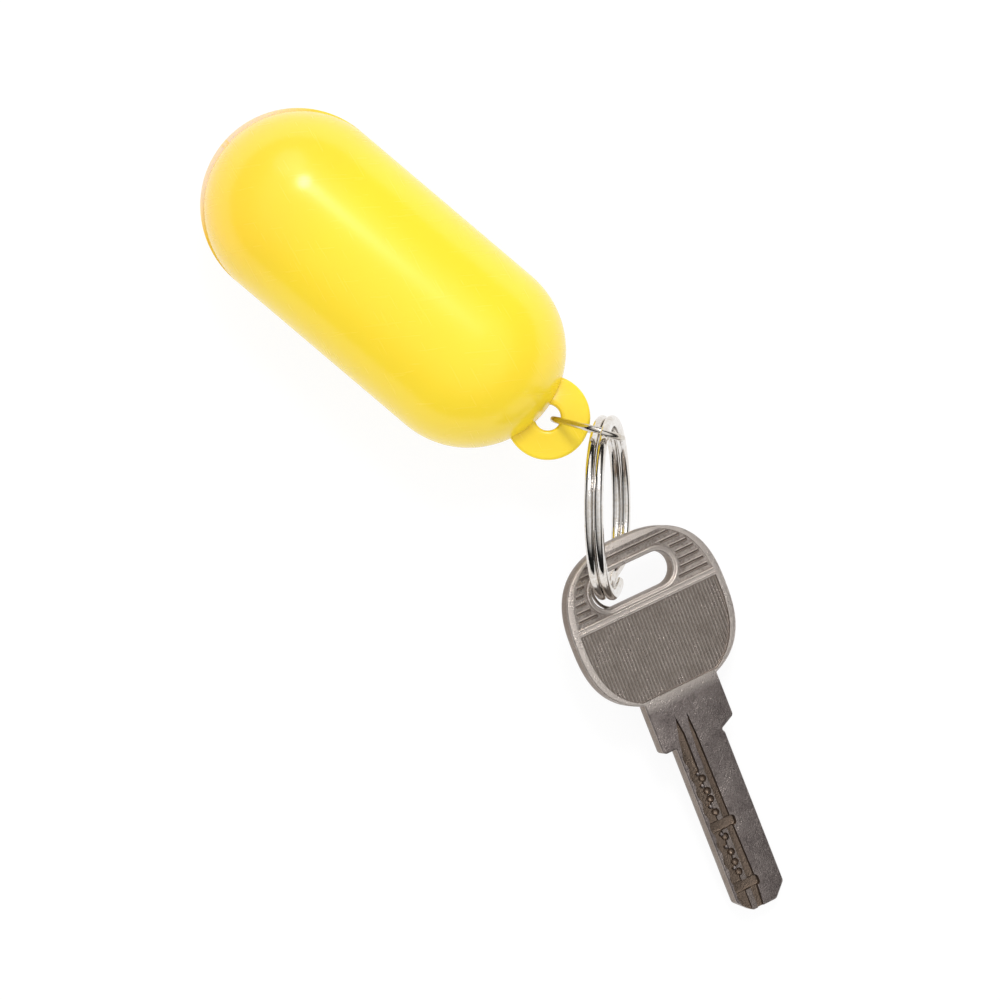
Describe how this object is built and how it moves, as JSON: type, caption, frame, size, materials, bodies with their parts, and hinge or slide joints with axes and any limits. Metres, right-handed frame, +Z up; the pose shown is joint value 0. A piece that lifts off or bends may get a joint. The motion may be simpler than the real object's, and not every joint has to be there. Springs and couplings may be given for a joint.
{
  "type": "floating keychain with key",
  "caption": "Hollow capsule float with a flat lug, an oval wire link, a double-coil split ring and a key with a slotted, ribbed bow.",
  "frame": {"origin": "middle of the part's outline on the table it lies on", "axes": "+X along the float's long axis towards its lug, +Z up from the table"},
  "size_m": [0.1249, 0.0477, 0.0265],
  "materials": {
    "float_plastic": "glossy moulded yellow",
    "link_steel": "bright plated wire",
    "ring_steel": "bright plated flat wire",
    "key_metal": "worn nickel silver"
  },
  "bodies": {
    "float": {"float_upper_shell": "float_plastic", "float_lower_shell": "float_plastic"},
    "link": {"connecting_link": "link_steel"},
    "ring": {"split_ring": "ring_steel"},
    "key": {"key": "key_metal"}
  },
  "joints": [
    {"name": "link_swing", "type": "hinge", "parent": "float", "child": "link", "pos_m": [-0.0047, 0.01065, 0.01325], "axis": [0, 0, 1], "range_deg": [-50, 50]},
    {"name": "ring_swing", "type": "hinge", "parent": "link", "child": "ring", "pos_m": [0.00203, 0.01367, 0.01841], "axis": [0, 0, 1], "range_deg": [-13, 16]},
    {"name": "key_swing", "type": "hinge", "parent": "ring", "child": "key", "pos_m": [0.01727, -0.00204, 0.0106], "axis": [0, 0, 1], "range_deg": [-35, 35]}
  ]
}
